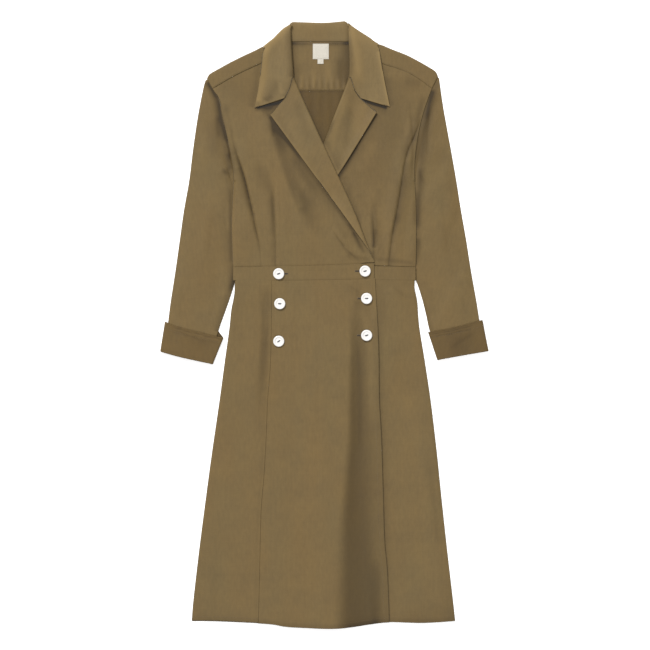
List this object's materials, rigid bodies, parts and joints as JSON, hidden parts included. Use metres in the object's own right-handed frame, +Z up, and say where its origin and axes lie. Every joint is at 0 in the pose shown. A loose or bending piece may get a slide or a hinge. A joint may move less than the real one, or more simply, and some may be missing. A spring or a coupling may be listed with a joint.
{
  "type": "wrap dress",
  "caption": "Olive wrap dress laid flat, with a notched collar, lapels, seven-eighths sleeves with turned-back cuffs, a waistband, pearl buttons and an A-line wrap skirt.",
  "frame": {"origin": "centre of the object's box in plan, on the surface that the dress lies on", "axes": "+X towards the wearer's left, +Y towards the collar, +Z up from the surface, out of the front of the dress"},
  "size_m": [0.6229, 1.1538, 0.0082],
  "materials": {
    "shell_cloth": "matte olive twill with a slight sheen",
    "label_cloth": "matte off-white woven tape",
    "pearl": "glossy white mother-of-pearl"
  },
  "bodies": {
    "root": {"back_yoke": "shell_cloth", "back_bodice": "shell_cloth", "back_waistband": "shell_cloth", "back_skirt": "shell_cloth", "right_front_bodice": "shell_cloth", "left_front_bodice": "shell_cloth", "right_waistband": "shell_cloth", "left_waistband": "shell_cloth", "right_side_skirt": "shell_cloth", "right_front_skirt": "shell_cloth", "left_front_skirt": "shell_cloth", "right_lapel": "shell_cloth", "left_lapel": "shell_cloth", "collar": "shell_cloth", "right_sleeve": "shell_cloth", "left_sleeve": "shell_cloth", "right_cuff": "shell_cloth", "left_cuff": "shell_cloth", "neck_label": "label_cloth", "size_tab": "label_cloth", "button_1": "pearl", "button_2": "pearl", "button_3": "pearl", "button_4": "pearl", "button_5": "pearl", "button_6": "pearl"}
  },
  "joints": []
}
